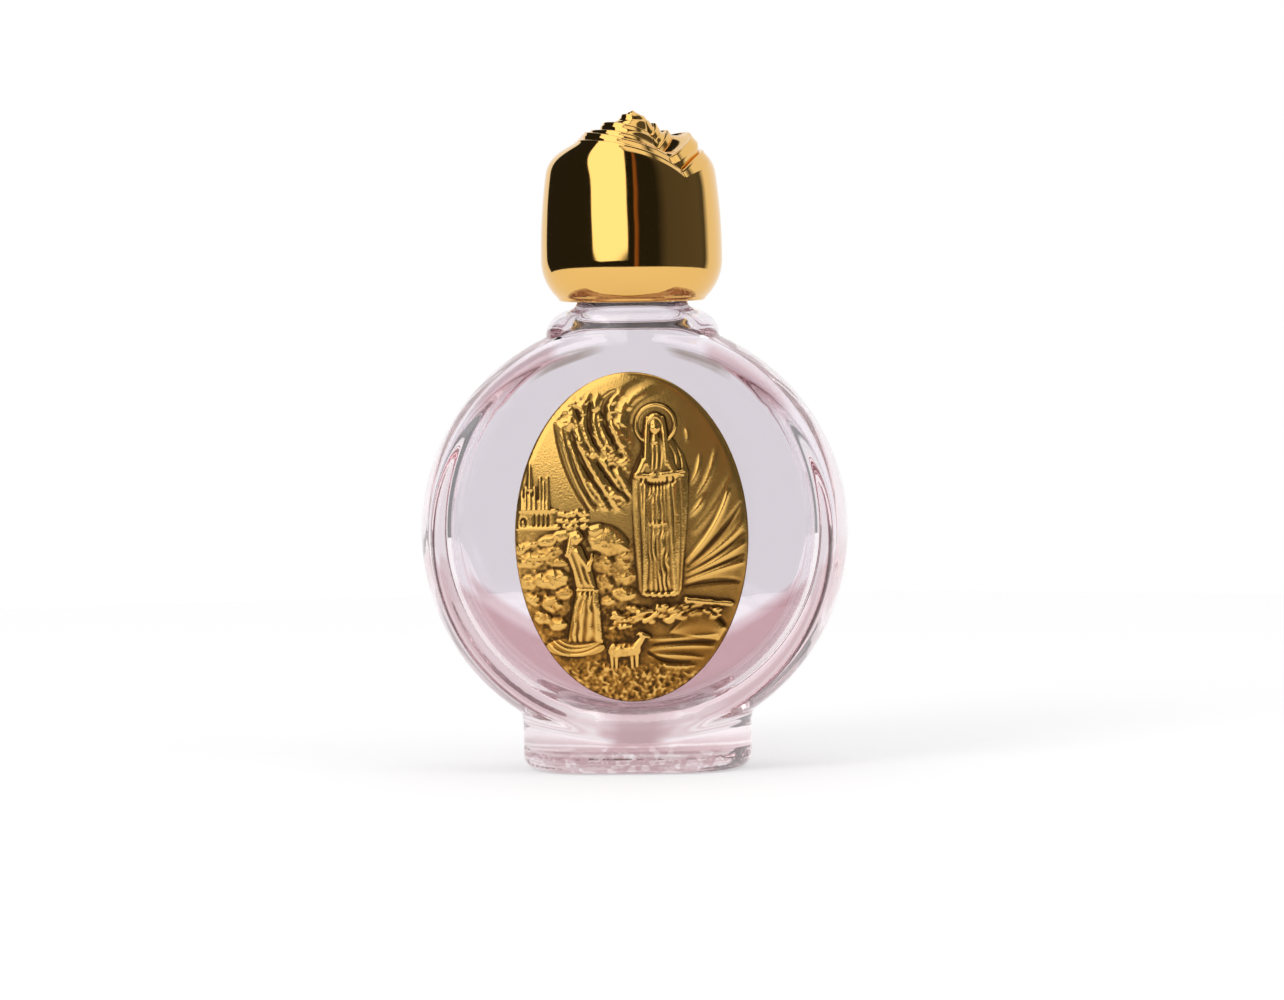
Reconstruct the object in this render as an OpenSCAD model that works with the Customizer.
// Flat round glass flask with a glued oval plaque and a rose-bud screw cap.
// Millimetres. Origin at the centre of the base, +Z up, the plaque faces -Y.

/* [Flask] */
// Width of the round body across its rim
body_d = 42.2; // [38:0.1:46]
// Thickness over the two flat faces
body_t = 16; // [14:0.1:18]
// Rounding where a flat face turns into the rim
body_edge_r = 0.9; // [0.5:0.1:1.4]
// Glass thickness at the rim
rim_wall = 2.5; // [2:0.1:3]
// Glass thickness at the flat faces
face_wall = 2.1; // [1.6:0.1:2.6]
// Extra glass under the hollow
base_extra = 1.2; // [0.4:0.1:2]

/* [Foot] */
// Width of the oval foot
foot_w = 22.6; // [20:0.1:25]
// Height of the rim's lowest point above the base
foot_rise = 2.3; // [2:0.1:3]
// Rounding of the foot's lower edge
foot_edge_r = 1.5; // [0.8:0.1:2]
// Diameter of the shallow hollow under the foot
punt_d = 10.4; // [8:0.1:11.5]
// Depth of that hollow
punt_h = 0.5; // [0.3:0.05:0.8]

/* [Neck] */
// Neck diameter under the thread
neck_d = 10.8; // [9.5:0.1:12]
// Diameter of the bore in the neck
bore_d = 6.8; // [5.5:0.1:7.4]
// Neck height above the collar
neck_h = 9.9; // [9:0.1:11]
// Step of the collar out from the neck
collar_step = 3.15; // [2.8:0.05:3.4]
// Height of the collar above the top of the rim
collar_rise = 1.4; // [1.1:0.05:1.8]
// Rounding of the collar's upper edge
collar_edge_r = 1.9; // [1.2:0.1:2.2]

/* [Cap] */
// Room between neck and insert for the thread ridges
thread_room = 0.8; // [0.6:0.05:1]
// Wall of the screw insert
insert_wall = 0.65; // [0.5:0.05:0.8]
// Thickest wall of the rose shell
shell_wall = 2.05; // [1.8:0.05:2.4]
// Thickness of the foam sealing wad
wad_t = 1; // [0.8:0.1:1.4]
// Gap between the collar and the closed cap
cap_gap = 0.35; // [0.3:0.05:0.6]
// Height of the bud above the shell's ceiling
bud_h = 7.2; // [6.4:0.1:8]
// Thickness of a petal's lip
petal_lip = 0.45; // [0.35:0.05:0.6]

/* [Plaque] */
// Width of the oval plaque
plaque_w = 22.8; // [20:0.1:25]
// Height of the oval plaque
plaque_h = 32.5; // [29:0.1:34]
// Thickness of the plate behind the relief
plaque_t = 0.7; // [0.5:0.05:0.75]
// Height of the relief above the plate
relief_h = 0.85; // [0.5:0.05:0.9]
// Thickness of the glue film
glue_t = 0.15; // [0.1:0.05:0.2]
// Margin of bare plaque round the glue film
glue_margin = 0.9; // [0.5:0.1:1.5]

/* [Hidden] */
$fn = 96;
fit = 0.05;
body_r = body_d / 2;
body_y = body_t / 2;
body_z = foot_rise + body_r;
foot_y = body_y - 0.1;
foot_top = foot_rise + body_r - sqrt(pow(body_r, 2) - pow(foot_w / 2, 2)) + 1.5;
neck_r = neck_d / 2;
collar_r = neck_r + collar_step;
collar_z = body_z + body_r + collar_rise;
lip_z = collar_z + neck_h;
cavity_r = body_r - rim_wall;
cavity_y = body_y - face_wall;
insert_bore_r = neck_r + thread_room;
insert_r = insert_bore_r + insert_wall;
insert_top_t = 0.8;
shell_bore_r = insert_r + fit;
cap_r = shell_bore_r + shell_wall;
cap_z = collar_z + cap_gap;
wad_z = lip_z + fit;
wad_r = insert_bore_r - 0.15;
ceiling_z = wad_z + wad_t + 2 * fit + insert_top_t;
bud_z = ceiling_z + bud_h;
skirt_r = 4.7;
skirt_z = cap_z + 3.5;
dome_r = 10.3;
dome_x = cap_r - dome_r;
dome_z = bud_z - 0.1 - sqrt(pow(dome_r, 2) - pow(dome_x, 2));
groove_h = 1.3;
relief_k = min(plaque_h / 32.5, plaque_w / 22.8);

// Rim of each layer of petals: azimuth of its highest point, tilt, drop of its middle under the bud's tip.
RIMS = [[-60, 6, 3.5], [-75, 6, 2.4], [-50, 7, 1.55], [-85, 8, 0.85]];
// Notches between petals: layer, azimuth, drop of the notch under the bud's tip, run of its fall and rise.
NOTCHES = [
  [0, 42, 6.1, 10.5, 3.2], [0, 165, 5.6, 9, 3.2], [0, -140, 5.4, 8, 3],
  [1, 58, 4.4, 9.5, 3], [1, 190, 4, 8, 3],
  [2, 75, 3.1, 8, 2.6], [2, -125, 3, 7, 2.6],
  [3, 100, 2, 6, 2.2]
];

// Section of a flattened ball: x is the radius, y runs through its thickness.
module lens_section(r, half, edge) {
  flat = sqrt(pow(r, 2) - pow(half, 2)) - edge * 0.7;
  wide = flat + edge * 2.2;
  intersection() {
    circle(r);
    polygon([
      [0, -half], [flat, -half], [wide, -half + edge * 1.6], [r + 1, -half + edge * 1.6],
      [r + 1, half - edge * 1.6], [wide, half - edge * 1.6], [flat, half], [0, half]
    ]);
  }
}

module lens(r, half, edge) {
  rotate([90, 0, 0]) rotate_extrude() lens_section(r, half, edge);
}

// Section of the foot from its middle outwards, with its rounded lower edge.
module foot_section(width) {
  translate([0, foot_edge_r]) square([width, foot_top - foot_edge_r]);
  square([width - foot_edge_r, foot_top]);
  translate([width - foot_edge_r, foot_edge_r]) circle(foot_edge_r);
}

module foot() {
  reach = foot_w / 2 - foot_y;
  for (s = [-1, 1]) translate([s * reach, 0, 0]) rotate_extrude() foot_section(foot_y);
  for (s = [0, 180]) rotate([0, 0, s]) translate([-reach, 0, 0]) rotate([90, 0, 90])
    linear_extrude(2 * reach) foot_section(foot_y);
}

// Collar and neck turned about the upright axis.
module neck_section() {
  low = body_z + body_r - 4;
  translate([0, low]) square([collar_r, collar_z - collar_edge_r - low]);
  translate([0, low]) square([collar_r - collar_edge_r, collar_z - low]);
  translate([collar_r - collar_edge_r, collar_z - collar_edge_r]) circle(collar_edge_r);
  translate([0, low]) square([neck_r, lip_z - 0.5 - low]);
  translate([0, low]) square([neck_r - 0.5, lip_z - low]);
  translate([neck_r - 0.5, lip_z - 0.5]) circle(0.5);
}

// The collar stops short of the flat faces, where it runs out into the glass.
module collar_and_neck() {
  intersection() {
    rotate_extrude() neck_section();
    union() {
      translate([-50, -50, body_z + body_r - collar_edge_r]) cube([100, 100, 50]);
      translate([-50, -foot_y, 0]) cube([100, 2 * foot_y, lip_z]);
    }
  }
}

module hollow() {
  rise = base_extra / 2;
  translate([0, 0, body_z + rise]) lens(cavity_r - rise, cavity_y, 2.4);
  translate([0, 0, body_z]) cylinder(d = bore_d, h = lip_z - body_z + 1);
}

module glass_bottle() {
  punt_r = (pow(punt_d / 2, 2) + pow(punt_h, 2)) / (2 * punt_h);
  color([0.88, 0.85, 0.88]) difference() {
    union() {
      translate([0, 0, body_z]) lens(body_r, body_y, body_edge_r);
      foot();
      collar_and_neck();
    }
    hollow();
    translate([0, 0, punt_h - punt_r]) sphere(punt_r);
  }
}

// Upright oval drawn flat, with +z out of the bottle's front.
module on_face(out) {
  translate([0, -body_y - out, body_z]) rotate([90, 0, 0]) children();
}

module oval(inset, t) {
  r = plaque_w / 2 - inset;
  linear_extrude(t) scale([1, (plaque_h / 2 - inset) / r]) circle(r);
}

module plaque_adhesive() {
  color([0.93, 0.93, 0.9]) on_face(0) oval(glue_margin, glue_t);
}

// A ball or a cone lying in the plate, with only its front cap proud of it.
module boss(x, y, r, h) {
  translate([x, y, h - r]) sphere(r);
}

module fold(x1, y1, r1, x2, y2, r2, h) {
  len = norm([x2 - x1, y2 - y1]);
  turn = atan2(y2 - y1, x2 - x1);
  dip = atan2(r2 - r1, len);
  translate([x1, y1, h - r1]) rotate([0, 0, turn]) rotate([0, 90 + dip, 0])
    cylinder(r1 = r1, r2 = r2, h = len);
}

module standing_figure() {
  fold(2.85, -5.6, 2.1, 2.75, 5.6, 1.6, 0.6);
  fold(1.4, -5.5, 0.75, 0.95, 5.6, 0.85, 0.66);
  fold(4.4, -5.5, 0.75, 4.75, 5.6, 0.85, 0.66);
  fold(2.7, 5.2, 1.7, 2.4, 9.2, 1.15, 0.72);
  fold(0.5, 5.7, 0.75, 2.3, 6.4, 0.6, 0.78);
  fold(5, 5.7, 0.75, 3.1, 6.4, 0.6, 0.78);
  boss(2.35, 10.5, 1.4, 0.76);
  boss(2.3, 10.7, 0.85, 0.84);
  translate([2.45, 11, 0]) rotate_extrude() translate([1.9, 0.22]) circle(0.24);
}

module kneeling_figure() {
  fold(-4.7, -11.1, 2, -4.4, -5.4, 1.3, 0.6);
  fold(-4.4, -5.8, 1.4, -5, -1.6, 1.15, 0.68);
  fold(-8.1, -11.3, 0.7, -2.9, -11.5, 0.7, 0.46);
  fold(-4.4, -4, 0.65, -2.9, -3.1, 0.5, 0.72);
  boss(-5.2, -0.7, 1.15, 0.76);
}

module sheep() {
  fold(-2.1, -11.1, 0.95, 0.6, -11, 0.9, 0.6);
  fold(0.5, -10.8, 0.6, 1.1, -9.7, 0.5, 0.64);
  boss(1.25, -9.5, 0.62, 0.7);
  for (x = [-1.9, -1.2, 0, 0.6]) translate([x, -12.9, 0]) cube([0.32, 1.6, 0.36]);
}

module chapel() {
  translate([-11, 1, 0]) cube([3.4, 1.7, 0.36]);
  translate([-10.7, 2.6, 0]) cube([2.4, 1.6, 0.44]);
  translate([-8.9, 2.6, 0]) cube([0.9, 2.6, 0.4]);
  linear_extrude(0.5) polygon([[-10.2, 4.1], [-9.75, 8.1], [-9.3, 4.1]]);
}

// Boulders, the ledge under the standing figure and the folds of rock round it.
module rocks() {
  for (p = [[-8.2, -3.6, 1.9], [-9, -6.4, 1.7], [-7.6, -8.6, 1.4]]) boss(p[0], p[1], p[2], 0.46);
  for (p = [[-2.6, -2.2, 1.8], [8.6, -6.9, 1.7], [-0.6, -8.3, 1.3]]) boss(p[0], p[1], p[2], 0.46);
  fold(-0.4, -6.6, 0.9, 8.6, -6.2, 0.8, 0.42);
  fold(1.2, -8, 0.9, 8, -7.6, 0.8, 0.38);
  fold(1.8, -10.9, 0.8, 7.2, -10.2, 0.8, 0.34);
  fold(-5, -13.2, 0.9, 4.6, -13.4, 0.9, 0.36);
  for (f = [[-7.2, 11.4, -2.2, 1.6], [-5.4, 13, -1.6, 4], [-3.6, 13.9, -1, 6.2], [-1.4, 14.2, -0.6, 8.4]])
    fold(f[0], f[1], 0.75, f[2], f[3], 0.55, 0.36);
  for (f = [[9.2, 4.4, 5.8, -2.6], [10, 1.2, 5.8, -4.2], [10.2, -2, 6, -5.2], [7.6, 8.2, 6, 0.6]])
    fold(f[0], f[1], 0.75, f[2], f[3], 0.55, 0.36);
}

module front_plaque() {
  color([0.78, 0.62, 0.34]) on_face(glue_t + fit) {
    oval(0.35, 0.35);
    translate([0, 0, 0.3]) oval(0, plaque_t - 0.3);
    intersection() {
      translate([0, 0, plaque_t - 0.2]) oval(0.9, relief_h + 0.2);
      translate([0, 0, plaque_t]) scale(relief_k) union() {
        standing_figure();
        kneeling_figure();
        sheep();
        chapel();
        rocks();
      }
    }
  }
}

// Outline of one layer of petals: the outermost is the cap's own dome, the inner ones are cones.
module layer_section(k, inset) {
  r = dome_r - inset;
  last = acos(-dome_x / r);
  tip = bud_z + 2.85 - 0.95 * (k - 1) - inset * 1.5;
  low = ceiling_z + 1.2;
  neck = cap_r - 0.6 - inset;
  base = [[0, dome_z - 2], [neck, dome_z - 2], [neck, dome_z]];
  dome = [for (i = [0 : 5]) [dome_x + r * cos(last * i / 5), dome_z + r * sin(last * i / 5)]];
  if (k == 0)
    polygon(concat(base, dome));
  else
    polygon([[0, low], [(tip - low) * 0.85, low], [0, tip]]);
}

// Everything above a rim plane that is highest at one azimuth.
module above(az, tilt, drop) {
  rotate([0, 0, az - 90]) translate([0, 0, bud_z - drop]) rotate([0, -tilt, 0])
    translate([-20, -20, 0]) cube(40);
}

// A notch between two petals: a long fall on its left side and a short rise on its right.
module notch(az, drop, fall, rise) {
  rotate([0, 0, az - 90]) translate([1.5, 0, bud_z - drop]) rotate([90, 0, 90])
    linear_extrude(14) polygon([[0, 0], [rise, 4], [-fall, 4]]);
}

// One layer of petals: a thin lip all round with a groove behind it.
module petals(k) {
  p = RIMS[k];
  difference() {
    rotate_extrude() layer_section(k, 0);
    above(p[0], p[1], p[2]);
    for (n = NOTCHES) if (n[0] == k) notch(n[1], n[2], n[3], n[4]);
    intersection() {
      rotate_extrude() layer_section(k, petal_lip);
      above(p[0], p[1], p[2] + groove_h);
    }
  }
}

module bud() {
  for (k = [0 : 3]) petals(k);
  rotate_extrude() layer_section(4, 0);
}

module skirt_section() {
  translate([0, skirt_z]) square([cap_r, dome_z - skirt_z]);
  translate([0, cap_z]) square([cap_r - skirt_r, skirt_z - cap_z]);
  intersection() {
    translate([cap_r - skirt_r, skirt_z]) circle(skirt_r);
    translate([0, cap_z]) square([cap_r, skirt_z - cap_z]);
  }
}

module cap_shell() {
  color([0.85, 0.66, 0.3]) difference() {
    union() {
      rotate_extrude() skirt_section();
      bud();
    }
    translate([0, 0, cap_z - 1]) cylinder(r = shell_bore_r, h = ceiling_z - cap_z + 1);
    translate([0, 0, ceiling_z - 0.5]) cylinder(r1 = 4.4, r2 = 1.6, h = bud_h - 2.6);
  }
}

module thread_insert() {
  color([0.92, 0.92, 0.9]) translate([0, 0, cap_z + 0.3]) difference() {
    cylinder(r = insert_r, h = ceiling_z - fit - cap_z - 0.3);
    translate([0, 0, -1]) cylinder(r = insert_bore_r, h = ceiling_z - fit - cap_z - 0.3 - insert_top_t + 1);
  }
}

module sealing_wad() {
  color([0.96, 0.96, 0.95]) translate([0, 0, wad_z]) cylinder(r = wad_r, h = wad_t);
}

glass_bottle();
front_plaque();
plaque_adhesive();
cap_shell();
thread_insert();
sealing_wad();
